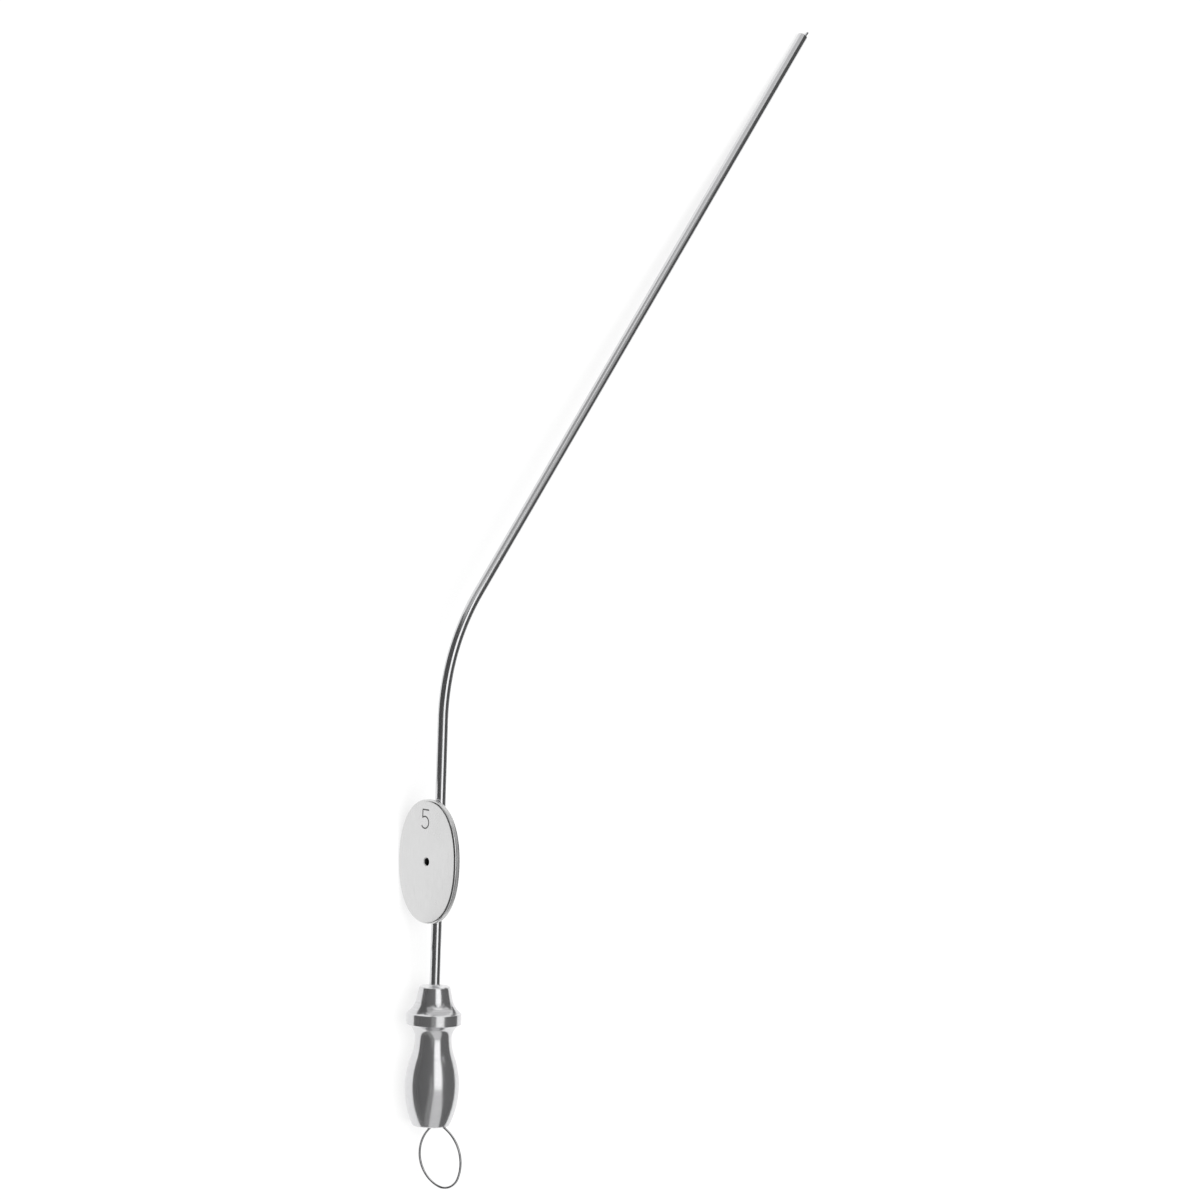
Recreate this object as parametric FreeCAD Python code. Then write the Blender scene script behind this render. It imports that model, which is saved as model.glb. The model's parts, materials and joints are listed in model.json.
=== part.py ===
import FreeCAD, Part
import math
import os

from FreeCAD import Vector

os.makedirs("parts", exist_ok=True)

# A surgical suction tube: a thin bent steel tube with an oval finger plate brazed on its outer
# side, a turned hose connector soldered on its rear end, and a wire stylet lying in its lumen.
# It is modelled first in its own directions, then laid down as it would come to rest.
# Own directions: Y runs along the straight rear tube towards the tip, X is the side that the
# tube bends towards, Z is across the finger plate, and the origin is the connector's rear face.

# Tube, 5 French
tube_outer_d = 1.667
tube_wall = 0.23
tube_edge_round = 0.07
bend_start = 63.6
bend_radius = 33.8
bend_angle = 35.6
distal_length = 111.0
tube_vent_d = 1.0

# Finger plate
plate_station = 41.5
plate_length = 19.4
plate_width = 14.2
plate_thickness = 1.1
plate_standoff = 0.5
plate_squareness = 2.2
plate_rim_round = 0.35
plate_vent_d = 1.2
plate_vent_bevel = 0.12
outline_points = 32

# Brazed saddle between the plate and the tube
saddle_end_inset = 0.9
saddle_plate_width = 3.2
saddle_tube_width = 2.1
saddle_depth_on_tube = 0.55

# Engraved size figure: its bowl is placed from the plate's middle and from its tip-side end
figure_stroke = 0.24
figure_depth = 0.08
figure_bowl_radius = 0.93
figure_bowl_across = -0.65
figure_bowl_from_end = 3.6
figure_bowl_from = 128.0
figure_bowl_to = -140.0
figure_stem_height = 1.25
figure_bar_length = 1.45

# Hose connector, stretch by stretch from the rear face
bulge_station = 6.1
bulge_d = 8.54
bulge_profile_radius = 14.0
neck_from_bulge = 7.7
neck_d = 5.78
collar_from_neck = 2.2
collar_d = 8.62
collar_width = 1.65
flare_length = 2.2
flare_d = 5.68
nose_length = 2.05
nose_d = 4.82
nose_bevel = 0.15
rear_bevel = 0.12
bore_d = 5.1
bore_depth = 9.0
funnel_half_angle = 59.0
solder_ring_d = 2.7
solder_ring_height = 0.35

# Wire stylet and its finger loop
wire_d = 0.4
wire_play_at_tip = 0.04
wire_tip_kick = 6.5
wire_tip_reach = 1.2
stem_lean = 5.8
stem_bend_radius = 15.0
loop_inset = 0.28
loop_length = 10.04
loop_inner_end_radius = 1.07
loop_outer_end_radius = 2.68
loop_near_side_radius = 5.4
loop_far_side_radius = 6.3
loop_roll = 67.4
loop_skew = 6.8

# How often the floor is laid again under the instrument
settling_rounds = 20

along = Vector(0, 1, 0)
bend_side = Vector(1, 0, 0)
across = Vector(0, 0, 1)
bend_axis = Vector(0, 0, -1)

tube_r = tube_outer_d / 2
lumen_r = tube_r - tube_wall
wire_r = wire_d / 2


def turned(vector, axis, degrees):
    """The vector after a turn about the axis."""
    return FreeCAD.Rotation(axis, degrees).multVec(vector)


def laid(start, heading, axis, runs, radius):
    """Round bars laid end to end from start: (length,) runs straight, (bend radius, degrees)
    turns about the axis. Gives the bars, where they end and which way they then point."""
    bars = []
    for run in runs:
        if len(run) == 1:
            bars.append(Part.makeCylinder(radius, run[0], start, heading))
            start = start + heading * run[0]
        else:
            centre = start + axis.cross(heading) * run[0]
            disc = Part.Face(Part.Wire(Part.Circle(start, heading, radius).toShape()))
            bars.append(disc.revolve(centre, axis, run[1]))
            start = centre + turned(start - centre, axis, run[1])
            heading = turned(heading, axis, run[1])
    return bars, start, heading


def joined(solids):
    """One solid from pieces that meet or overlap."""
    return solids[0].multiFuse(solids[1:]).removeSplitter()


def arc_leaving(start, heading, end):
    """The arc that leaves start with this heading and ends at end."""
    chord = end - start
    half_turn = heading.getAngle(chord)
    radius = chord.Length / (2 * math.sin(half_turn))
    side = (chord - heading * chord.dot(heading)).normalize()
    middle = start + side * (radius * (1 - math.cos(half_turn))) + heading * (radius * math.sin(half_turn))
    return Part.Arc(start, middle, end).toShape()


# The connector's stations along the tube, from its rear face.
neck_station = bulge_station + neck_from_bulge
collar_rear = neck_station + collar_from_neck
collar_front = collar_rear + collar_width
flare_front = collar_front + flare_length
nose_front = flare_front + nose_length
tube_rear = bore_depth + (bore_d - tube_outer_d) / 2 / math.tan(math.radians(funnel_half_angle))

# The centreline of the tube: straight, one bend, straight.
bend_start_point = along * bend_start
front_runs = [(bend_radius, bend_angle), (distal_length,)]
tip, tip_heading = laid(bend_start_point, along, bend_axis, front_runs, tube_r)[1:]

# The finger plate's faces, measured from the tube's axis away from the bend side.
plate_back = tube_r + plate_standoff
plate_front = plate_back + plate_thickness


def is_ring(edge, radius, centre):
    """Whether an edge is the full circle of this radius about this centre."""
    curve = edge.Curve
    if not isinstance(curve, Part.Circle):
        return False
    return abs(curve.Radius - radius) < 1e-6 and curve.Center.distanceToPoint(centre) < 1e-6


def cannula():
    """The tube: its outside less its lumen, with the tip's edge broken and a vent in its wall."""
    rear_run = (bend_start - tube_rear,)
    outside = joined(laid(along * tube_rear, along, bend_axis, [rear_run] + front_runs, tube_r)[0])
    mouth_edges = [edge for edge in outside.Edges if is_ring(edge, tube_r, tip)]
    outside = outside.makeFillet(tube_edge_round, mouth_edges)
    overrun = tube_wall
    lumen_runs = [(rear_run[0] + overrun,), front_runs[0], (distal_length + overrun,)]
    lumen = joined(laid(along * (tube_rear - overrun), along, bend_axis, lumen_runs, lumen_r)[0])
    vent = Part.makeCylinder(tube_vent_d / 2, tube_outer_d, along * plate_station, -bend_side)
    return outside.cut(lumen).cut(vent)


def plate_outline(depth, inset):
    """Points round the plate's superellipse outline, drawn in by inset, depth off the tube's axis."""
    half_length = plate_length / 2 - inset
    half_width = plate_width / 2 - inset
    power = 2 / plate_squareness
    points = []
    for index in range(outline_points):
        turn = 2 * math.pi * index / outline_points
        width_share = math.copysign(abs(math.cos(turn)) ** power, math.cos(turn))
        length_share = math.copysign(abs(math.sin(turn)) ** power, math.sin(turn))
        points.append(Vector(-depth, plate_station + half_length * length_share, half_width * width_share))
    return points


def figure():
    """The cutter for the engraved figure: bowl, stem and bar of round-ended strokes."""
    half = figure_stroke / 2
    floor = figure_depth - plate_front
    cut_out = -bend_side * (2 * figure_depth)

    def place(across_by, along_by):
        """A point on the strokes' floor, measured from the vent's centre."""
        return Vector(floor, plate_station + along_by, across_by)

    def line(start, end):
        """A straight stroke between two points of the floor."""
        side = (end - start).cross(bend_side).normalize() * half
        corners = [start + side, end + side, end - side, start - side, start + side]
        return Part.Face(Part.makePolygon(corners)).extrude(cut_out)

    hub = place(figure_bowl_across, plate_length / 2 - figure_bowl_from_end)
    spoke = across * figure_bowl_radius
    foot = hub + turned(spoke, -bend_side, figure_bowl_from)
    tail = hub + turned(spoke, -bend_side, figure_bowl_to)
    top = foot + along * figure_stem_height
    bar_end = top + across * figure_bar_length
    ray = (foot - hub).normalize() * half
    section = Part.makeLine(foot - ray, foot + ray).extrude(cut_out)
    bowl = section.revolve(hub, bend_side, figure_bowl_from - figure_bowl_to)
    dots = [Part.makeCylinder(half, cut_out.Length, point, cut_out) for point in (foot, tail, top, bar_end)]
    return joined([bowl, line(foot, top), line(top, bar_end)] + dots)


def finger_plate():
    """The oval plate with a rounded rim, its brazed saddle, its vent and its engraved figure."""
    outline = Part.BSplineCurve()
    outline.interpolate(Points=plate_outline(plate_front, 0), PeriodicFlag=True)
    plate = Part.Face(Part.Wire(outline.toShape())).extrude(bend_side * plate_thickness)
    rims = [edge for edge in plate.Edges if len(edge.Vertexes) == 1 and edge.Length > plate_length]
    plate = plate.makeFillet(plate_rim_round, rims)

    saddle_length = plate_length - 2 * saddle_end_inset
    rear = plate_station - saddle_length / 2
    root = Vector(plate_thickness / 2 - plate_front, rear, 0)
    shoulder = Vector(-plate_back, rear, 0)
    foot = Vector(saddle_depth_on_tube - tube_r, rear, 0)
    half_root = across * (saddle_plate_width / 2)
    half_foot = across * (saddle_tube_width / 2)
    section = [root - half_root, shoulder - half_root, foot - half_foot,
               foot + half_foot, shoulder + half_root, root + half_root, root - half_root]
    saddle = Part.Face(Part.makePolygon(section)).extrude(along * saddle_length)
    seat = Part.makeCylinder(tube_r, bend_start - tube_rear, along * tube_rear, along)

    vent_r = plate_vent_d / 2
    face_centre = along * plate_station - bend_side * plate_front
    vent = Part.makeCylinder(vent_r, plate_front, along * plate_station, -bend_side)
    bevel = Part.makeCone(vent_r + plate_vent_bevel, vent_r, plate_vent_bevel, face_centre, bend_side)
    return joined([plate, saddle]).cut(seat).cut(vent.fuse(bevel)).cut(figure())


def hose_connector():
    """The turned connector: its outline spun about the tube's axis."""

    def at(diameter, station):
        return Vector(diameter / 2, station, 0)

    # The bulge is one arc, and the neck's arc runs into it smoothly.
    bulge_centre = at(bulge_d - 2 * bulge_profile_radius, bulge_station)
    neck_drop = (bulge_d - neck_d) / 2
    neck_arc_radius = (neck_from_bulge ** 2 + neck_drop ** 2) / (2 * neck_drop) - bulge_profile_radius
    neck_centre = at(neck_d + 2 * neck_arc_radius, neck_station)
    meeting = bulge_centre + (neck_centre - bulge_centre).normalize() * bulge_profile_radius
    rear_rise = math.sqrt(bulge_profile_radius ** 2 - (bulge_station - rear_bevel) ** 2)
    rear_corner = Vector(bulge_centre.x + rear_rise, rear_bevel, 0)

    neck = at(neck_d, neck_station)
    collar_edge = at(collar_d, collar_front)
    flare_start = at(flare_d, flare_front)
    nose_corner = at(nose_d, nose_front)
    nose_slope = (nose_corner - flare_start).normalize()
    nose_edge = nose_corner - nose_slope * nose_bevel
    nose_rim = at(nose_d - 2 * nose_bevel, nose_front)
    ring_foot = at(solder_ring_d, nose_front)
    ring_top = at(tube_outer_d, nose_front + solder_ring_height)
    bore_end = at(bore_d, bore_depth)
    bore_edge = at(bore_d, rear_bevel)
    bore_rim = at(bore_d + 2 * rear_bevel, 0)
    rear_rim = Vector(rear_corner.x - rear_bevel, 0, 0)
    edges = [
        Part.makeLine(bore_end, bore_edge),
        Part.makeLine(bore_edge, bore_rim),
        Part.makeLine(bore_rim, rear_rim),
        Part.makeLine(rear_rim, rear_corner),
        Part.Arc(rear_corner, at(bulge_d, bulge_station), meeting).toShape(),
        arc_leaving(neck, -along, meeting),
        arc_leaving(neck, along, at(collar_d, collar_rear)),
        Part.makeLine(at(collar_d, collar_rear), collar_edge),
        arc_leaving(flare_start, -nose_slope, collar_edge),
        Part.makeLine(flare_start, nose_edge),
        Part.makeLine(nose_edge, nose_rim),
        Part.makeLine(nose_rim, ring_foot),
        arc_leaving(ring_foot, -bend_side, ring_top),
        Part.makeLine(ring_top, at(tube_outer_d, tube_rear)),
        Part.makeLine(at(tube_outer_d, tube_rear), bore_end),
    ]
    outline = Part.Wire(Part.__sortEdges__(edges))
    return Part.Face(outline).revolve(Vector(), along, 360)


def stylet():
    """The wire: finger loop, leaning stem, the run through the lumen and the kicked tip."""
    # The stem leans off the tube's axis in the loop's plane, from where the tube opens to the bore.
    loop_side = turned(bend_side, -along, loop_roll)
    lean_axis = loop_side.cross(along)
    kink = stem_bend_radius * math.tan(math.radians(stem_lean / 2))
    run_start = along * (tube_rear + kink)
    stem_length = (tube_rear - loop_inset) / math.cos(math.radians(stem_lean)) - kink
    stem, crown, stem_heading = laid(
        run_start, -along, lean_axis, [(stem_bend_radius, stem_lean), (stem_length,)], wire_r)

    # The loop is an egg of tangent arcs: crown, side and far end. One side bulges more than the
    # other, and the egg is turned a little from the stem in its own plane.
    inner = loop_inner_end_radius
    outer = loop_length - loop_outer_end_radius
    loop_heading = turned(stem_heading, lean_axis, loop_skew)
    loop = []
    for hand, side_radius in ((1, loop_near_side_radius), (-1, loop_far_side_radius)):
        inner_gap = side_radius - loop_inner_end_radius
        outer_gap = side_radius - loop_outer_end_radius
        side_level = (inner + outer + (inner_gap ** 2 - outer_gap ** 2) / (outer - inner)) / 2
        inner_turn = math.degrees(math.acos((side_level - inner) / inner_gap))
        outer_turn = math.degrees(math.acos((outer - side_level) / outer_gap))
        loop_runs = [(loop_inner_end_radius, inner_turn), (side_radius, 180 - inner_turn - outer_turn),
                     (loop_outer_end_radius, outer_turn)]
        axis = lean_axis * hand
        loop += laid(crown, loop_heading.cross(axis), axis, loop_runs, wire_r)[0]

    # Near the mouth the wire bends on a little, until it lies against the lumen's wall.
    kick_offset = lumen_r - wire_r - wire_play_at_tip
    kick_radius = kick_offset / (1 - math.cos(math.radians(wire_tip_kick)))
    kick_length = kick_radius * math.sin(math.radians(wire_tip_kick))
    front_wire_runs = [(bend_start - run_start.y,), front_runs[0], (distal_length - kick_length,),
                       (kick_radius, wire_tip_kick), (wire_tip_reach - wire_r,)]
    front, end, _ = laid(run_start, along, bend_axis, front_wire_runs, wire_r)
    return joined(front + [Part.makeSphere(wire_r, end)] + stem + loop)


def contact_points(up):
    """The lowest points of the connector's bulge, the plate's rim and the tube's tip."""
    slant = (up - along * up.dot(along)).normalize()
    ring_radius = bulge_d / 2 - bulge_profile_radius
    bulge = along * bulge_station - slant * ring_radius - up * bulge_profile_radius
    rim_ring = plate_outline(plate_back + plate_rim_round, plate_rim_round)
    rim = min(rim_ring, key=up.dot) - up * plate_rim_round
    tip_slant = (up - tip_heading * up.dot(tip_heading)).normalize()
    edge = tip - tip_heading * tube_edge_round - tip_slant * (tube_r - tube_edge_round)
    return bulge, rim, edge - up * tube_edge_round


# It rests on those three points. Laying the floor through them turns which points are lowest
# a little, so the floor is laid again until it settles.
up = across
for _ in range(settling_rounds):
    bulge_point, rim_point, tip_point = contact_points(up)
    up = (tip_point - bulge_point).cross(rim_point - bulge_point).normalize()
    if up.dot(across) < 0:
        up = -up
row_y = (along - up * along.dot(up)).normalize()
row_x = row_y.cross(up)
to_rest = FreeCAD.Matrix(row_x.x, row_x.y, row_x.z, 0, row_y.x, row_y.y, row_y.z, 0, up.x, up.y, up.z, 0)

pieces = {
    "cannula": cannula(),
    "finger_plate": finger_plate(),
    "hose_connector": hose_connector(),
    "stylet": stylet(),
}
pieces = {name: shape.transformed(to_rest, copy=True) for name, shape in pieces.items()}

# The origin is the middle of the underside of the box round the whole instrument.
box = Part.makeCompound(list(pieces.values())).optimalBoundingBox(False)
to_origin = -Vector(box.Center.x, box.Center.y, box.ZMin)
for name, shape in pieces.items():
    shape.translate(to_origin)
    shape.exportStep("parts/" + name + ".step")

# Where the fastening places lie once it is laid down, in millimetres.
print("box", round(box.XLength, 3), round(box.YLength, 3), round(box.ZLength, 3))
print("hose end", to_origin, "axis", to_rest.multVec(-along))
print("tip", to_rest.multVec(tip) + to_origin, "axis", to_rest.multVec(tip_heading))
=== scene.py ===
import bmesh
import bpy
import json
import numpy as np
from mathutils import Euler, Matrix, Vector


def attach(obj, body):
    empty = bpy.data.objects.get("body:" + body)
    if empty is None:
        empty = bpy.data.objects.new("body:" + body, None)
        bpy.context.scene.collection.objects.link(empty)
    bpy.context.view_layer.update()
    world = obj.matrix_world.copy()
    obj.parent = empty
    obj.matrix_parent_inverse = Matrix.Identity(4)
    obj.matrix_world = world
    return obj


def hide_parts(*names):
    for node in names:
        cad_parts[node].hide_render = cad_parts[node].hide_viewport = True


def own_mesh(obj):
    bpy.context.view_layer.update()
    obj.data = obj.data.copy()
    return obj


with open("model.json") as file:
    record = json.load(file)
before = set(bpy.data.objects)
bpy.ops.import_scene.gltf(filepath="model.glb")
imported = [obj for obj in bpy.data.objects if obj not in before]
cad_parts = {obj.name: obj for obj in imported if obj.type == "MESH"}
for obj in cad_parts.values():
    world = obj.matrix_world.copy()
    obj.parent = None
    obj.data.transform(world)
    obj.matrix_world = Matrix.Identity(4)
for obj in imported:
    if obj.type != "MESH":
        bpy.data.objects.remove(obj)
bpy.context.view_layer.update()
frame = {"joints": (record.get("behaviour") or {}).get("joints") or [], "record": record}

# Cannula
# A thin drawn stainless tube, 5 French, bent once, open from end to end and cut square at the
# tip with its edge broken. A vent is drilled through its wall under the finger plate, and its
# rear end is soldered into the hose connector.
MM = 0.001
tube_r = 0.8335 * MM
lumen_r = 0.6035 * MM
tube_edge_round = 0.07 * MM
lumen_edge_round = 0.02 * MM
tube_rear = 10.03 * MM
bend_start = 63.6 * MM
bend_r = 33.8 * MM
distal_length = 111.0 * MM
tube_vent_r = 0.5 * MM
plate_station = 41.5 * MM
tube_columns = 96
wall_reach = 1.01  # a drilled hole's wall lies within this many radii of its axis

# The instrument's own directions, from where the record says that it is fastened: along runs
# from the connector's rear face to the tip, and bend_side is the side that the tube bends towards.
mounts = {mount["name"]: mount for mount in frame["record"]["mounts"]}
rear_centre = np.array(mounts["hose_end"]["pos_m"])
along = -np.array(mounts["hose_end"]["axis"])
tip_heading = np.array(mounts["tip_shaft"]["axis"])
bend_side = tip_heading - along * (tip_heading @ along)
bend_side /= np.linalg.norm(bend_side)
across = np.cross(bend_side, along)
bend_turn = np.arccos(along @ tip_heading)
plate_centre = rear_centre + along * plate_station


def laid(start, heading, axis, runs, arc_step=np.radians(1.5)):
    """Points and headings of straight runs (length,) and arcs (radius, turn) laid end to end.
    An arc's points are start + radius (sin t heading + (1 - cos t) axis x heading)."""
    points = [start[None]]
    headings = [heading[None]]
    for run in runs:
        if len(run) == 1:
            points.append((start + run[0] * heading)[None])
            headings.append(heading[None])
        else:
            turns = np.linspace(0, run[1], int(np.ceil(run[1] / arc_step)) + 2)[1:, None]
            inward = np.cross(axis, heading)
            points.append(start + run[0] * (np.sin(turns) * heading + (1 - np.cos(turns)) * inward))
            headings.append(np.cos(turns) * heading + np.sin(turns) * inward)
        start = points[-1][-1]
        heading = headings[-1][-1]
    return np.concatenate(points), np.concatenate(headings)


def rings(points, headings, side, radii, ways, columns):
    """Circles about a flat path: point + radius (cos t side + sin t heading x side), a row for
    each point and a column for each t. Also gives each point's place on the bar laid out
    straight: radius cos t, radius sin t and the way along it."""
    turns = np.arange(columns) * 2 * np.pi / columns
    cos, sin = np.cos(turns)[None, :, None], np.sin(turns)[None, :, None]
    radii = np.broadcast_to(radii, len(points))[:, None, None]
    grid = points[:, None] + radii * (cos * side + sin * np.cross(headings, side)[:, None])
    ways = np.broadcast_to(ways, len(points))[:, None, None]
    straight = np.concatenate([radii * cos, radii * sin, ways + 0 * cos], 2)
    return grid, straight


def way_along(points):
    """How far along a path each of its points lies: the running sum of its steps."""
    return np.concatenate([[0], np.cumsum(np.linalg.norm(np.diff(points, axis=0), axis=1))])


def solid(name, grid, straight, looped, pole_reach=2e-8):
    """A closed mesh on a grid whose columns run round. Its rows either loop, or end in poles,
    where a whole row is one point. Row i, column j and their next ones make a face."""
    rows, columns = grid.shape[:2]
    index = np.arange(rows * columns).reshape(rows, columns)
    next_column = np.roll(index, -1, 1)
    faces = np.stack([index, next_column, np.roll(next_column, -1, 0), np.roll(index, -1, 0)], 2)
    faces = (faces if looped else faces[:-1]).reshape(-1, 4)
    mesh = bpy.data.meshes.new(name)
    mesh.from_pydata(grid.reshape(-1, 3).tolist(), [], faces.tolist())
    mesh.attributes.new("straight", "FLOAT_VECTOR", "POINT").data.foreach_set("vector", straight.ravel())
    if not looped:
        shell = bmesh.new()
        shell.from_mesh(mesh)
        poles = list(shell.verts)[:columns] + list(shell.verts)[-columns:]
        bmesh.ops.remove_doubles(shell, verts=poles, dist=pole_reach)
        shell.to_mesh(mesh)
        shell.free()
    mesh.polygons.foreach_set("use_smooth", [True] * len(mesh.polygons))
    piece = bpy.data.objects.new(name, mesh)
    bpy.context.scene.collection.objects.link(piece)
    return piece


def combine(piece, other, operation):
    """The piece joined with the other solid or cut by it. The other one is used up."""
    change = piece.modifiers.new("combine", "BOOLEAN")
    change.operation = operation
    change.solver = "MANIFOLD"
    change.object = other
    graph = bpy.context.evaluated_depsgraph_get()
    mesh = bpy.data.meshes.new_from_object(piece.evaluated_get(graph))
    piece.modifiers.clear()
    piece.data = mesh
    bpy.data.objects.remove(other)


def plain_peg(start, heading, length, radius, side, columns=64):
    """A plain round peg with flat ends, to cut or fill with."""
    points = start + np.array([0, 0, length, length])[:, None] * heading
    radii = np.array([0, radius, radius, 0])
    return solid("peg", *rings(points, np.repeat(heading[None], 4, 0), side, radii, 0, columns), looped=False)


def steel_grain():
    """A group of the marks that drawing, turning and polishing leave, from 0 to 1: Streak is a
    fine grain drawn out by Density, in cells per metre each way, and Smudge a soft blotch."""
    group = bpy.data.node_groups.new("steel_grain", "ShaderNodeTree")
    for name, kind in (("Place", "Vector"), ("Density", "Vector"), ("Smudge Density", "Float")):
        group.interface.new_socket(name, in_out="INPUT", socket_type="NodeSocket" + kind)
    for name in ("Streak", "Smudge"):
        group.interface.new_socket(name, in_out="OUTPUT", socket_type="NodeSocketFloat")
    nodes, links = group.nodes, group.links
    given = nodes.new("NodeGroupInput")
    out = nodes.new("NodeGroupOutput")
    usual_range = (0.3, 0.7)

    def spread_noise(name):
        """Noise whose usual range is spread from 0 to 1, sent to the group's output of this name."""
        noise = nodes.new("ShaderNodeTexNoise")
        noise.inputs["Scale"].default_value = 1.0
        noise.inputs["Detail"].default_value = 3.0
        noise.inputs["Roughness"].default_value = 0.6
        spread = nodes.new("ShaderNodeMapRange")
        spread.inputs["From Min"].default_value, spread.inputs["From Max"].default_value = usual_range
        links.new(noise.outputs["Fac"], spread.inputs["Value"])
        links.new(spread.outputs["Result"], out.inputs[name])
        return noise

    stretched = nodes.new("ShaderNodeVectorMath")
    stretched.operation = "MULTIPLY"
    links.new(given.outputs["Place"], stretched.inputs[0])
    links.new(given.outputs["Density"], stretched.inputs[1])
    links.new(stretched.outputs["Vector"], spread_noise("Streak").inputs["Vector"])
    smudge = spread_noise("Smudge")
    links.new(given.outputs["Place"], smudge.inputs["Vector"])
    links.new(given.outputs["Smudge Density"], smudge.inputs["Scale"])
    return group


grain = steel_grain()


def steel(name, shades, gloss, density, smudge_density, depth, bare=1.0):
    """Steel whose colour runs between two shades with its grain and whose roughness runs between
    two values with its smudges, with grain of this depth. Bare is its share without haze."""
    material = bpy.data.materials.new(name)
    material.use_nodes = True
    nodes, links = material.node_tree.nodes, material.node_tree.links
    surface = nodes["Principled BSDF"]
    surface.inputs["Metallic"].default_value = bare
    place = nodes.new("ShaderNodeAttribute")
    place.attribute_name = "straight"
    marks = nodes.new("ShaderNodeGroup")
    marks.node_tree = grain
    marks.inputs["Density"].default_value = density
    marks.inputs["Smudge Density"].default_value = smudge_density
    links.new(place.outputs["Vector"], marks.inputs["Place"])
    colour = nodes.new("ShaderNodeMix")
    colour.data_type = "RGBA"
    colour.inputs[6].default_value = (*shades[0], 1)
    colour.inputs[7].default_value = (*shades[1], 1)
    links.new(marks.outputs["Streak"], colour.inputs["Factor"])
    links.new(colour.outputs[2], surface.inputs["Base Color"])
    rough = nodes.new("ShaderNodeMapRange")
    rough.inputs["To Min"].default_value = gloss[0]
    rough.inputs["To Max"].default_value = gloss[1]
    links.new(marks.outputs["Smudge"], rough.inputs["Value"])
    links.new(rough.outputs["Result"], surface.inputs["Roughness"])
    relief = nodes.new("ShaderNodeBump")
    relief.inputs["Strength"].default_value = 1.0
    relief.inputs["Distance"].default_value = depth
    links.new(marks.outputs["Streak"], relief.inputs["Height"])
    links.new(relief.outputs["Normal"], surface.inputs["Normal"])
    return material


def finish_piece(piece, materials, sharp_from=np.radians(28)):
    """Edges that turn by more than sharp_from shade as edges. The first material covers all."""
    mesh = piece.data
    mesh.set_sharp_from_angle(angle=sharp_from)
    mesh.materials.clear()
    for material in materials:
        mesh.materials.append(material)
    mesh.polygons.foreach_set("material_index", [0] * len(mesh.polygons))


def face_centres(piece, origin, ways):
    """How far the middle of each of the piece's faces lies from origin along each of the ways."""
    centres = np.empty(3 * len(piece.data.polygons))
    piece.data.polygons.foreach_get("center", centres)
    return (centres.reshape(-1, 3) - origin) @ np.array(ways).T


def cover(piece, chosen, material):
    """The chosen faces, a mask over them all, take this one of the piece's materials."""
    slot = piece.data.materials.find(material.name)
    indices = np.empty(len(piece.data.polygons), dtype=np.int32)
    piece.data.polygons.foreach_get("material_index", indices)
    piece.data.polygons.foreach_set("material_index", np.where(chosen, slot, indices))


line, headings = laid(rear_centre + along * tube_rear, along, -across,
                      [(bend_start - tube_rear,), (bend_r, bend_turn), (distal_length - tube_edge_round,)])
tip = line[-1] + tip_heading * tube_edge_round
ease = np.linspace(0, np.pi / 2, 9)
mouth_out = line[-1] + np.sin(ease)[1:, None] * tube_edge_round * tip_heading
mouth_in = tip - (1 - np.cos(ease))[:, None] * lumen_edge_round * tip_heading
points = np.concatenate([line, mouth_out, mouth_in, line[::-1]])
radii = np.concatenate([
    np.full(len(line), tube_r),
    tube_r - tube_edge_round * (1 - np.cos(ease[1:])),
    lumen_r + lumen_edge_round * (1 - np.sin(ease)),
    np.full(len(line), lumen_r),
])
mouth_headings = np.repeat(tip_heading[None], len(mouth_out) + len(mouth_in), 0)
wall_headings = np.concatenate([headings, mouth_headings, headings[::-1]])
cannula = solid("tube", *rings(
    points, wall_headings, across, radii, way_along(points), tube_columns), looped=True)
combine(cannula, plain_peg(plate_centre, -bend_side, 2 * tube_r, tube_vent_r, across), "DIFFERENCE")
# Painted shade: near-black steel laid on the walls of the drilled vents, darkening them as the shade inside a
# bore.
painted_bore_shade = steel(
    "painted_bore_shade", shades=((0.05, 0.05, 0.05), (0.08, 0.08, 0.08)), gloss=(0.5, 0.6),
    density=(3000, 3000, 3000), smudge_density=300, depth=0.0, bare=0.8)
finish_piece(cannula, [steel(
    "polished_tube_steel", shades=((0.70, 0.70, 0.71), (0.76, 0.76, 0.77)), gloss=(0.10, 0.17),
    density=(9000, 9000, 260), smudge_density=180, depth=0.16e-6, bare=0.97), painted_bore_shade])
vent_faces = face_centres(cannula, plate_centre, (along, across))
# The vent's wall in the tube takes the painted shade of the bore.
cover(cannula, np.hypot(*vent_faces.T) < wall_reach * tube_vent_r, painted_bore_shade)
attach(cannula, "suction_tube")
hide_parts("cannula")

# Finger plate
# An oval stainless plate with a rounded rim, brazed on a low saddle along the tube. Its vent is
# drilled through to the lumen, and its size figure is engraved near the tip-side end.
plate_length = 19.4 * MM
plate_width = 14.2 * MM
plate_thickness = 1.1 * MM
plate_standoff = 0.5 * MM
plate_squareness = 2.2
plate_rim_round = 0.35 * MM
plate_vent_r = 0.6 * MM
plate_vent_bevel = 0.12 * MM
saddle_end_inset = 0.9 * MM
saddle_plate_width = 3.2 * MM
saddle_tube_width = 2.1 * MM
saddle_depth_on_tube = 0.55 * MM
figure_stroke_r = 0.12 * MM
figure_depth = 0.08 * MM
bowl_r = 0.93 * MM
bowl_across = -0.65 * MM
bowl_from_end = 3.6 * MM
bowl_from = np.radians(128)
bowl_to = np.radians(-140)
stem_height = 1.25 * MM
bar_length = 1.45 * MM
flat_share = 0.8
rim_share = 0.99

outward = -bend_side
plate_back = tube_r + plate_standoff
plate_front = plate_back + plate_thickness
vent_face = plate_centre + outward * plate_front


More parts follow.
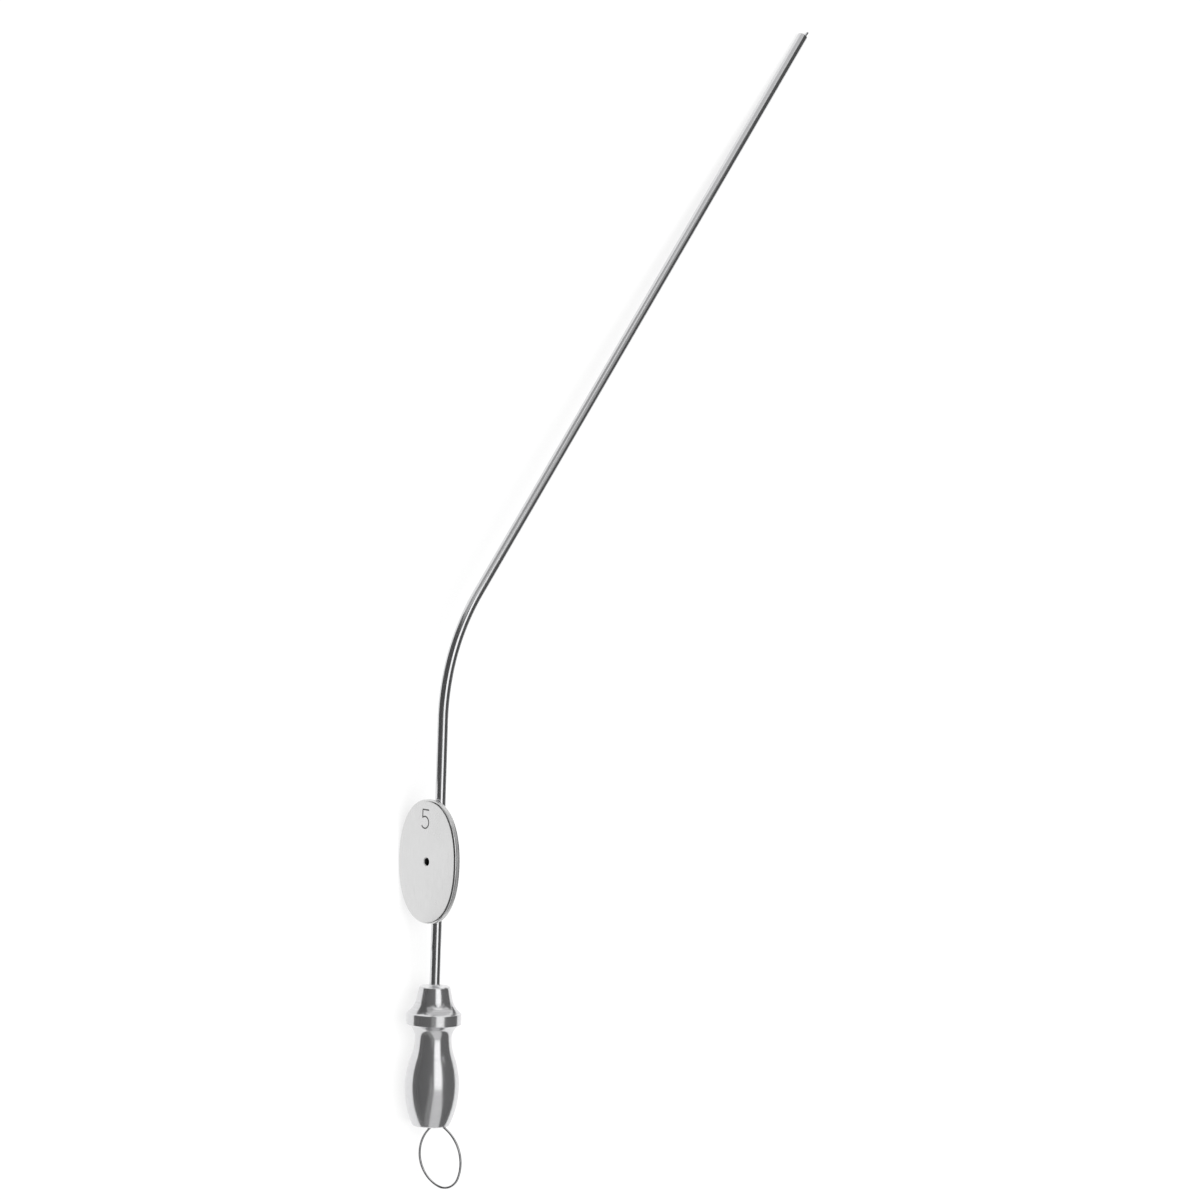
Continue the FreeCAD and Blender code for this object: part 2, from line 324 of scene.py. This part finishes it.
def plate_blank(columns=384, edge_rows=10):
    """Rows of a superellipse, |x/a|^n + |y/b|^n = 1, drawn in along its normal by an inset and
    then scaled by a share: from the front face's middle out, over the rim and back in."""
    turns = -np.arange(columns) * 2 * np.pi / columns
    wide, long = plate_width / 2, plate_length / 2
    power = 2 / plate_squareness
    x = wide * np.sign(np.cos(turns)) * np.abs(np.cos(turns)) ** power
    y = long * np.sign(np.sin(turns)) * np.abs(np.sin(turns)) ** power
    normal = np.stack([np.sign(x) * np.abs(x / wide) ** (plate_squareness - 1) / wide,
                       np.sign(y) * np.abs(y / long) ** (plate_squareness - 1) / long], 1)
    normal /= np.linalg.norm(normal, axis=1)[:, None]
    roll = np.linspace(0, np.pi / 2, edge_rows)
    share = np.array([0, 0.3, 0.6, 0.85, 0.97])
    face = np.ones(len(share))
    shares = np.concatenate([share, np.ones(2 * edge_rows), share[::-1]])
    insets = plate_rim_round * np.concatenate([face, 1 - np.sin(roll), 1 - np.sin(roll[::-1]), face])
    drop = plate_rim_round * (1 - np.cos(roll))
    depths = np.concatenate(
        [plate_front * face, plate_front - drop, plate_back + drop[::-1], plate_back * face])[:, None, None]
    outline = (np.stack([x, y], 1) - insets[:, None, None] * normal) * shares[:, None, None]
    sideways, lengthways = outline[..., :1], outline[..., 1:]
    grid = plate_centre + sideways * across + lengthways * along + depths * outward
    straight = np.concatenate([outline, depths + 0 * sideways], 2)
    return solid("finger_rest", grid, straight, looped=False)


def saddle(columns=40, length_rows=12):
    """The braze under the plate: a ridge whose half-width grows from the tube to the plate on a
    quarter of a sine, and whose ends are drawn in on a quarter circle."""
    half_length = plate_length / 2 - saddle_end_inset
    roll = np.linspace(np.pi / 2, -np.pi / 2, length_rows)
    stations = np.concatenate([[half_length], half_length * np.sin(roll), [-half_length]])
    shares = np.concatenate([[0], np.full(length_rows, 1.0), [0]])
    rise = np.linspace(0, 1, columns // 2)
    spread = (saddle_plate_width - saddle_tube_width) * (1 - np.cos(rise * np.pi / 2))
    half_width = (saddle_tube_width + spread) / 2
    low = tube_r - saddle_depth_on_tube
    depth = low + (plate_front - plate_thickness / 2 - low) * rise
    middle = (depth[0] + depth[-1]) / 2
    x = np.concatenate([half_width, -half_width[::-1]])
    d = np.concatenate([depth, depth[::-1]]) - middle
    grid = (plate_centre + stations[:, None, None] * along + middle * outward
            + (shares[:, None] * x)[..., None] * across + (shares[:, None] * d)[..., None] * outward)
    straight = np.stack([shares[:, None] * x, stations[:, None] + 0 * x, shares[:, None] * d], 2)
    return solid("saddle", grid, straight, looped=False)


def bar(name, points, headings, side, radius, columns=48, end_rows=8):
    """A round bar along a flat path with ball ends: before and after it, rows of radius cos t
    stand off its ends by radius sin t."""
    t = np.linspace(np.pi / 2, 0, end_rows)[:-1, None]
    before = points[0] - headings[0] * radius * np.sin(t)
    after = points[-1] + headings[-1] * radius * np.sin(t[::-1])
    cap = radius * np.cos(t[:, 0])
    cap[0] = 0
    points = np.concatenate([before, points, after])
    headings = np.pad(headings, ((len(t), len(t)), (0, 0)), mode="edge")
    radii = np.concatenate([cap, np.full(len(points) - 2 * len(t), radius), cap[::-1]])
    return solid(name, *rings(points, headings, side, radii, way_along(points), columns), looped=False)


def stroke(points, headings):
    """A round-bottomed groove's cutter along a path that lies just over the plate's face."""
    return bar("stroke", points, headings, outward, figure_stroke_r, columns=24, end_rows=6)


finger_rest = plate_blank()
combine(finger_rest, saddle(), "UNION")
tube_bed = plain_peg(
    plate_centre - along * plate_length, along, 2 * plate_length, tube_r, across, tube_columns)
combine(finger_rest, tube_bed, "DIFFERENCE")
combine(finger_rest, plain_peg(plate_centre, outward, 2 * plate_front, plate_vent_r, across), "DIFFERENCE")
bevel_depths = np.array([-plate_vent_bevel, -plate_vent_bevel, plate_vent_bevel, plate_vent_bevel])
bevel_radii = np.array([0, plate_vent_r, plate_vent_r + 2 * plate_vent_bevel, 0])
bevel = solid("bevel", *rings(
    vent_face + bevel_depths[:, None] * outward, np.repeat(outward[None], 4, 0), across,
    bevel_radii, 0, 64), looped=False)
combine(finger_rest, bevel, "DIFFERENCE")

# The figure: its bowl, then its stem up from the bowl's start and its bar from the stem's top.
groove_height = figure_stroke_r - figure_depth
hub = vent_face + groove_height * outward + bowl_across * across + (plate_length / 2 - bowl_from_end) * along


def on_bowl(turn):
    """The bowl's radius at a turn from across towards along."""
    return np.cos(turn) * across + np.sin(turn) * along


foot = hub + bowl_r * on_bowl(bowl_from)
top = foot + stem_height * along
bowl_heading = on_bowl(bowl_from - np.pi / 2)
bowl = laid(foot, bowl_heading, -np.cross(across, along), [(bowl_r, bowl_from - bowl_to)], np.radians(8))
stem = laid(foot, along, across, [(stem_height,)])
top_bar = laid(top, across, across, [(bar_length,)])
for path in (bowl, stem, top_bar):
    combine(finger_rest, stroke(*path), "DIFFERENCE")
# Painted shade: the engraved figure's grooves get dark grey steel, standing in for the shade inside the
# grooves.
painted_groove_shade = steel(
    "painted_groove_shade", shades=((0.16, 0.16, 0.16), (0.24, 0.24, 0.24)), gloss=(0.55, 0.65),
    density=(9000, 9000, 9000), smudge_density=300, depth=0.0, bare=0.7)
# The vent's bevel: a rougher cut finish, and shades lighter than the plate's that paint the pale ring of
# light on the bevel.
rough_painted_sheen_bevel = steel(
    "painted_sheen_bevel_steel", shades=((0.78, 0.78, 0.78), (0.84, 0.84, 0.84)), gloss=(0.5, 0.6),
    density=(9000, 9000, 9000), smudge_density=300, depth=0.0, bare=0.7)
brushed_rim = steel(
    "brushed_rim_steel", shades=((0.62, 0.62, 0.62), (0.78, 0.78, 0.78)), gloss=(0.42, 0.5),
    density=(900, 900, 9000), smudge_density=300, depth=0.3e-6, bare=0.8)
satin_steel = steel(
    "satin_plate_steel", shades=((0.70, 0.70, 0.70), (0.75, 0.75, 0.75)), gloss=(0.20, 0.28),
    density=(7000, 500, 7000), smudge_density=160, depth=0.2e-6)
finish_piece(finger_rest, [satin_steel, painted_bore_shade, painted_groove_shade, rough_painted_sheen_bevel, brushed_rim])

# Which of the plate's faces are which: by how far they lie from the vent's axis, how far below the
# front face, and what share of the way out to the superellipse.
plate_faces = face_centres(finger_rest, plate_centre, (across, along, outward))
vent_reach = np.hypot(*plate_faces[:, :2].T)
on_bevel = (vent_reach < plate_vent_r + plate_vent_bevel) & (plate_faces[:, 2] > plate_back)
# Faces of the vent's bevel take the rougher steel with its painted sheen.
cover(finger_rest, on_bevel, rough_painted_sheen_bevel)
# The vent's wall through the plate takes the painted shade of the bore.
cover(finger_rest, vent_reach < wall_reach * plate_vent_r, painted_bore_shade)
below_face = plate_front - plate_faces[:, 2]
share_out = ((np.abs(plate_faces[:, :2]) / (plate_width / 2, plate_length / 2)) ** plate_squareness).sum(1)
in_groove = (below_face > 0.01 * figure_depth) & (below_face < 1.1 * figure_depth)
# Faces inside the figure's grooves take the painted shade of the grooves.
cover(finger_rest, in_groove & (share_out < flat_share) & (vent_reach > 2 * plate_vent_r), painted_groove_shade)
between_rounds = np.abs(below_face - plate_thickness / 2) < plate_thickness / 2 - plate_rim_round
cover(finger_rest, between_rounds & (share_out > rim_share), brushed_rim)
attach(finger_rest, "suction_tube")
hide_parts("finger_plate")

# Hose connector
# Turned from stainless bar in one piece: a conical nose, a flare up to the collar, a neck and an
# olive-shaped bulge that soft hose is pushed over. It is bored from the rear, and the tube is
# soldered into its nose with a small ring of solder showing.
bulge_station = 6.1 * MM
bulge_d = 8.54 * MM
bulge_profile_radius = 14.0 * MM
neck_from_bulge = 7.7 * MM
neck_d = 5.78 * MM
collar_from_neck = 2.2 * MM
collar_d = 8.62 * MM
collar_width = 1.65 * MM
flare_length = 2.2 * MM
flare_d = 5.68 * MM
nose_length = 2.05 * MM
nose_d = 4.82 * MM
nose_bevel = 0.15 * MM
rear_bevel = 0.12 * MM
bore_d = 5.1 * MM
bore_depth = 9.0 * MM
solder_ring_d = 2.7 * MM
solder_ring_height = 0.35 * MM
broken_edge = 0.05 * MM
connector_columns = 256

neck_station = bulge_station + neck_from_bulge
collar_rear = neck_station + collar_from_neck
collar_front = collar_rear + collar_width
flare_front = collar_front + flare_length
nose_front = flare_front + nose_length


def sweep_between(start, end, centre, steps=28):
    """Points of the arc from start to end about a centre, by even steps of angle."""
    spoke_from, spoke_to = start - centre, end - centre
    angles = np.unwrap([np.arctan2(spoke_from[1], spoke_from[0]), np.arctan2(spoke_to[1], spoke_to[0])])
    t = np.linspace(*angles, steps)
    return centre + np.linalg.norm(spoke_from) * np.stack([np.cos(t), np.sin(t)], 1)


def arc_leaving(start, heading, end):
    """Points of the arc that leaves start with this heading and reaches end: its centre lies
    chord squared over twice the chord's share square to the heading, that way from start."""
    chord = end - start
    sideways = chord - heading * (chord @ heading)
    centre = start + sideways * (chord @ chord) / (2 * sideways @ sideways)
    return sweep_between(start, end, centre)


def at(diameter, station):
    """A point of the profile: radius and station from the rear face."""
    return np.array([diameter / 2, station])


bulge_centre = at(bulge_d - 2 * bulge_profile_radius, bulge_station)
neck_drop = (bulge_d - neck_d) / 2
neck_arc_radius = (neck_from_bulge ** 2 + neck_drop ** 2) / (2 * neck_drop) - bulge_profile_radius
neck_centre = at(neck_d + 2 * neck_arc_radius, neck_station)
towards_neck = (neck_centre - bulge_centre) / np.linalg.norm(neck_centre - bulge_centre)
meeting = bulge_centre + towards_neck * bulge_profile_radius
rear_reach = np.sqrt(bulge_profile_radius ** 2 - (bulge_station - rear_bevel) ** 2)
rear_corner = np.array([bulge_centre[0] + rear_reach, rear_bevel])
forward = np.array([0.0, 1.0])
inward = np.array([-1.0, 0.0])
solder_top = at(2 * tube_r, nose_front + solder_ring_height)
nose_slope = at(nose_d, nose_front) - at(flare_d, flare_front)
nose_slope /= np.linalg.norm(nose_slope)

profile = np.concatenate([
    [at(bore_d + 2 * rear_bevel, 0), rear_corner - (rear_bevel, rear_bevel)],
    sweep_between(rear_corner, meeting, bulge_centre, 60),
    arc_leaving(at(neck_d, neck_station), -forward, meeting)[-2::-1],
    arc_leaving(at(neck_d, neck_station), forward, at(collar_d, collar_rear))[1:],
    arc_leaving(at(flare_d, flare_front), -nose_slope, at(collar_d, collar_front))[::-1],
    [at(nose_d, nose_front) - nose_slope * nose_bevel, at(nose_d - 2 * nose_bevel, nose_front)],
    arc_leaving(at(solder_ring_d, nose_front), inward, solder_top),
    [at(2 * tube_r, tube_rear), at(bore_d, bore_depth), at(bore_d, rear_bevel)],
])
connector = solid("hose_olive", *rings(
    rear_centre + profile[:, 1:] * along, np.repeat(along[None], len(profile), 0), across,
    profile[:, 0], profile[:, 1], connector_columns), looped=True)
eased = connector.modifiers.new("broken_edges", "BEVEL")
eased.width = broken_edge
eased.segments = 3
eased.limit_method = "ANGLE"
eased.angle_limit = np.radians(20)
eased.harden_normals = True
turned_steel = steel(
    "turned_connector_steel", shades=((0.70, 0.70, 0.71), (0.75, 0.75, 0.76)), gloss=(0.16, 0.22),
    density=(300, 300, 5200), smudge_density=120, depth=0.24e-6, bare=0.92)
lined_collar = steel(
    "lined_collar_steel", shades=((0.66, 0.66, 0.67), (0.80, 0.80, 0.81)), gloss=(0.17, 0.22),
    density=(20, 20, 6000), smudge_density=120, depth=1e-6, bare=0.92)
lined_flare = steel(
    "lined_flare_steel", shades=((0.58, 0.58, 0.59), (0.84, 0.84, 0.85)), gloss=(0.16, 0.20),
    density=(5, 5, 2400), smudge_density=120, depth=8e-6, bare=0.92)
finish_piece(connector, [turned_steel, lined_collar, lined_flare])
stations = face_centres(connector, rear_centre, (along, across))[:, 0]
cover(connector, (stations > collar_rear) & (stations < collar_front), lined_collar)
cover(connector, (stations > collar_front) & (stations < flare_front), lined_flare)
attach(connector, "suction_tube")
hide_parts("hose_connector")

# Stylet
# A spring wire that keeps the lumen clear, its rear end bent into an egg-shaped finger loop. It
# flexes as it is drawn round the bend, so it is three lengths of the same wire: the loop with its
# straight run, the run through the bend, and the run to the tip, which draws in on the real stylet but here
# stays with the tube.
wire_r = 0.2 * MM
hidden_wire_r = 0.19 * MM
wire_play_at_tip = 0.04 * MM
wire_tip_kick = np.radians(6.5)
wire_tip_reach = 1.2 * MM
stem_lean = np.radians(5.8)
stem_bend_radius = 15.0 * MM
loop_inset = 0.28 * MM
loop_length = 10.04 * MM
loop_inner_end_radius = 1.07 * MM
loop_outer_end_radius = 2.68 * MM
loop_near_side_radius = 5.4 * MM
loop_far_side_radius = 6.3 * MM
loop_roll = np.radians(67.4)
loop_skew = np.radians(6.8)
pull = frame["joints"][0]["range_m"][1]
overlap = 0.5 * MM
wire_sharp_from = np.radians(60)

loop_side = np.cos(loop_roll) * bend_side + np.sin(loop_roll) * across
lean_axis = np.cross(loop_side, along)
kink = stem_bend_radius * np.tan(stem_lean / 2)
run_start = tube_rear + kink
stem_length = (tube_rear - loop_inset) / np.cos(stem_lean) - kink
stem_line, stem_headings = laid(
    rear_centre + along * run_start, -along, lean_axis, [(stem_bend_radius, stem_lean), (stem_length,)])
crown, stem_heading = stem_line[-1], stem_headings[-1]
straight_end = rear_centre + along * (bend_start - overlap)
wire_line = np.concatenate([straight_end[None], stem_line])
wire_headings = np.concatenate([-along[None], stem_headings])
wire_loop = bar("wire_loop", wire_line, wire_headings, lean_axis, wire_r)


def half_egg(side_radius):
    """The arcs from the loop's crown round one side to its far end, each running into the next."""
    inner = loop_inner_end_radius
    outer = loop_length - loop_outer_end_radius
    inner_gap = side_radius - loop_inner_end_radius
    outer_gap = side_radius - loop_outer_end_radius
    side_level = (inner + outer + (inner_gap ** 2 - outer_gap ** 2) / (outer - inner)) / 2
    inner_turn = np.arccos((side_level - inner) / inner_gap)
    outer_turn = np.arccos((outer - side_level) / outer_gap)
    return [(loop_inner_end_radius, inner_turn), (side_radius, np.pi - inner_turn - outer_turn),
            (loop_outer_end_radius, outer_turn)]


loop_heading = np.cos(loop_skew) * stem_heading + np.sin(loop_skew) * np.cross(lean_axis, stem_heading)
egg_line, egg_headings = laid(
    crown, np.cross(loop_heading, lean_axis), lean_axis,
    half_egg(loop_near_side_radius) + half_egg(loop_far_side_radius)[::-1], np.radians(3))
egg_line, egg_headings = egg_line[:-1], egg_headings[:-1]
egg = solid("egg", *rings(
    egg_line, egg_headings, lean_axis, wire_r, way_along(egg_line), 48), looped=True)
combine(wire_loop, egg, "UNION")
wire_steel = steel(
    "spring_wire_steel", shades=((0.45, 0.45, 0.46), (0.88, 0.88, 0.89)), gloss=(0.10, 0.18),
    density=(600, 600, 200), smudge_density=300, depth=0.16e-6)
finish_piece(wire_loop, [wire_steel], wire_sharp_from)
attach(wire_loop, "stylet")
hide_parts("stylet")

wire_in_bend = bar("wire_in_bend", *laid(
    rear_centre + along * (bend_start - pull - 2 * overlap), along, -across,
    [(pull + 2 * overlap,), (bend_r, bend_turn), (overlap,)]), across, hidden_wire_r)
finish_piece(wire_in_bend, [wire_steel], wire_sharp_from)
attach(wire_in_bend, "suction_tube")
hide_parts("stylet")

bend_end = tip - tip_heading * distal_length
kick_radius = (lumen_r - wire_r - wire_play_at_tip) / (1 - np.cos(wire_tip_kick))
kick_length = kick_radius * np.sin(wire_tip_kick)
tip_runs = [(distal_length - kick_length,), (kick_radius, wire_tip_kick), (wire_tip_reach - wire_r,)]
wire_tip = bar("wire_tip", *laid(bend_end, tip_heading, -across, tip_runs), across, wire_r)
finish_piece(wire_tip, [wire_steel], wire_sharp_from)
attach(wire_tip, "suction_tube")
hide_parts("stylet")
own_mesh(wire_tip)

# Table, lamps and camera
# The instrument lies on a plain white table under a broad even lamp, which lights what is matt.
# Soft boxes overhead, behind it and beyond its tip, and dark and grey cards round it, are seen in
# the steel only. The camera looks down on it from the plate's side.
table_size = 6.0
table_whiteness = 0.82
table_mesh = bpy.data.meshes.new("table")
half = table_size / 2
table_corners = [(-half, -half, 0), (half, -half, 0), (half, half, 0), (-half, half, 0)]
table_mesh.from_pydata(table_corners, [], [(0, 1, 2, 3)])
table = bpy.data.objects.new("table", table_mesh)
bpy.context.scene.collection.objects.link(table)
table_white = bpy.data.materials.new("table_white")
table_white.use_nodes = True
nodes, links = table_white.node_tree.nodes, table_white.node_tree.links
paint = nodes["Principled BSDF"]
paint.inputs["Base Color"].default_value = (0.98, 0.98, 0.98, 1)
paint.inputs["Roughness"].default_value = 0.9
paint.inputs["Specular IOR Level"].default_value = 0.0
white = nodes.new("ShaderNodeEmission")
white.inputs["Strength"].default_value = 1.0
seen = nodes.new("ShaderNodeLightPath")
in_steel = nodes.new("ShaderNodeMath")
in_steel.operation = "MAXIMUM"
links.new(seen.outputs["Is Glossy Ray"], in_steel.inputs[0])
links.new(seen.outputs["Is Transmission Ray"], in_steel.inputs[1])
shown_white = nodes.new("ShaderNodeMath")
shown_white.operation = "MULTIPLY_ADD"
shown_white.inputs[1].default_value = table_whiteness
links.new(seen.outputs["Is Camera Ray"], shown_white.inputs[0])
links.new(in_steel.outputs["Value"], shown_white.inputs[2])
shown = nodes.new("ShaderNodeMixShader")
links.new(shown_white.outputs["Value"], shown.inputs["Fac"])
links.new(paint.outputs["BSDF"], shown.inputs[1])
links.new(white.outputs["Emission"], shown.inputs[2])
links.new(shown.outputs["Shader"], nodes["Material Output"].inputs["Surface"])
table_mesh.materials.append(table_white)

# The dark card has a notch beside the finger plate, whose face shows the white table. The small
# cards darken the tube's right side and the flare's left one.
card_height = 0.0001


def card(name, corners, shade):
    """A matt card, to be seen in the steel only. Its corners are places on the table, or points in
    space where it stands up."""
    mesh = bpy.data.meshes.new(name)
    mesh.from_pydata([(*corner, card_height)[:3] for corner in corners], [], [tuple(range(len(corners)))])
    piece = bpy.data.objects.new(name, mesh)
    bpy.context.scene.collection.objects.link(piece)
    piece.visible_camera = False
    piece.visible_diffuse = False
    piece.visible_shadow = False
    matt = bpy.data.materials.new(name)
    matt.use_nodes = True
    matt.node_tree.nodes["Principled BSDF"].inputs["Base Color"].default_value = (shade, shade, shade, 1)
    matt.node_tree.nodes["Principled BSDF"].inputs["Specular IOR Level"].default_value = 0.0
    mesh.materials.append(matt)


card("dark_card", [(-2.9, -1.5), (-0.0485, -0.4), (-0.0485, -0.052), (-0.063, -0.052), (-0.063, -0.030),
                   (-0.0445, -0.030), (-0.0445, 0.010), (-0.1, 0.07), (-0.3, 0.2), (-2.9, 0.9)], 0.06)
card("right_card", [(-0.014, -0.057), (0.06, -0.045), (0.06, -0.015), (-0.014, -0.015)], 0.06)
card("flare_card", [(-0.0395, -0.0555, 0.0), (-0.065, -0.0555, 0.0),
                    (-0.065, -0.0555, 0.012), (-0.0395, -0.0555, 0.009)], 0.06)
card("grey_card", [(-0.065, 0.03), (-0.015, 0.065), (-0.2, 0.45), (-0.45, 0.35)], 0.35)

world = bpy.data.worlds.new("room")
world.use_nodes = True
world.node_tree.nodes["Background"].inputs["Color"].default_value = (0.06, 0.06, 0.06, 1)
bpy.context.scene.world = world


def softbox(name, place, facing, size, radiance, seen_in_steel):
    """A rectangular lamp at a place, turned to face a point, as bright as radiance. It is either
    seen in the steel only, or lights what is matt only."""
    lamp = bpy.data.lights.new(name, "AREA")
    lamp.shape = "RECTANGLE"
    lamp.size, lamp.size_y = size
    lamp.energy = radiance * np.pi * size[0] * size[1]
    box = bpy.data.objects.new(name, lamp)
    box.location = place
    box.rotation_euler = (Vector(place) - Vector(facing)).to_track_quat("Z", "Y").to_euler()
    box.visible_camera = False
    box.visible_glossy = seen_in_steel
    box.visible_diffuse = not seen_in_steel
    bpy.context.scene.collection.objects.link(box)


softbox("overhead", (-0.030, -0.017, 0.30), (-0.030, -0.017, 0), (0.185, 0.234), 1.2, True)
softbox("overhead_end", (-0.033, 0.139, 0.30), (-0.033, 0.139, 0), (0.08, 0.078), 1.2, True)
softbox("overhead_dim", (-0.205, -0.09, 0.30), (-0.205, -0.09, 0), (0.09, 0.12), 0.13, True)
softbox("rear_panel_dim", (-0.185, -0.242, 0.16), (-0.185, -0.072, 0.03), (0.09, 0.354), 0.13, True)
softbox("overhead_side", (0.0535, 0.139, 0.30), (0.0535, 0.139, 0), (0.093, 0.078), 0.45, True)
softbox("far_side", (0.165, 0.115, 0.30), (0.165, 0.115, 0), (0.11, 0.13), 0.25, True)
softbox("far_overhead", (-0.055, 0.2115, 0.30), (-0.055, 0.2115, 0), (0.39, 0.067), 0.32, True)
softbox("far_overhead_end", (-0.055, 0.2775, 0.30), (-0.055, 0.2775, 0), (0.39, 0.065), 0.48, True)
softbox("rear_panel", (-0.030, -0.242, 0.16), (-0.030, -0.072, 0.03), (0.19, 0.354), 0.56, True)
softbox("far_panel", (0.295, 0.5, 0.3), (0.295, 0.0, 0.3), (1.01, 0.6), 0.58, True)
softbox("far_panel_left", (-0.405, 0.5, 0.3), (-0.405, 0.0, 0.3), (0.39, 0.6), 0.33, True)
softbox("level", (0.0, 0.0, 2.5), (0.0, 0.0, 0.0), (2.0, 2.0), 7.9, False)

camera = bpy.data.objects.new("camera", bpy.data.cameras.new("camera"))
camera.data.lens = 150.0
camera.data.sensor_width = 36.0
camera.location = rear_centre + (-0.350963, 0.084603, 0.698122)
camera.rotation_euler = Euler(np.radians((-0.212, -28.627, 0.055)))
bpy.context.scene.collection.objects.link(camera)
bpy.context.scene.camera = camera
bpy.context.scene.view_settings.view_transform = "Standard"
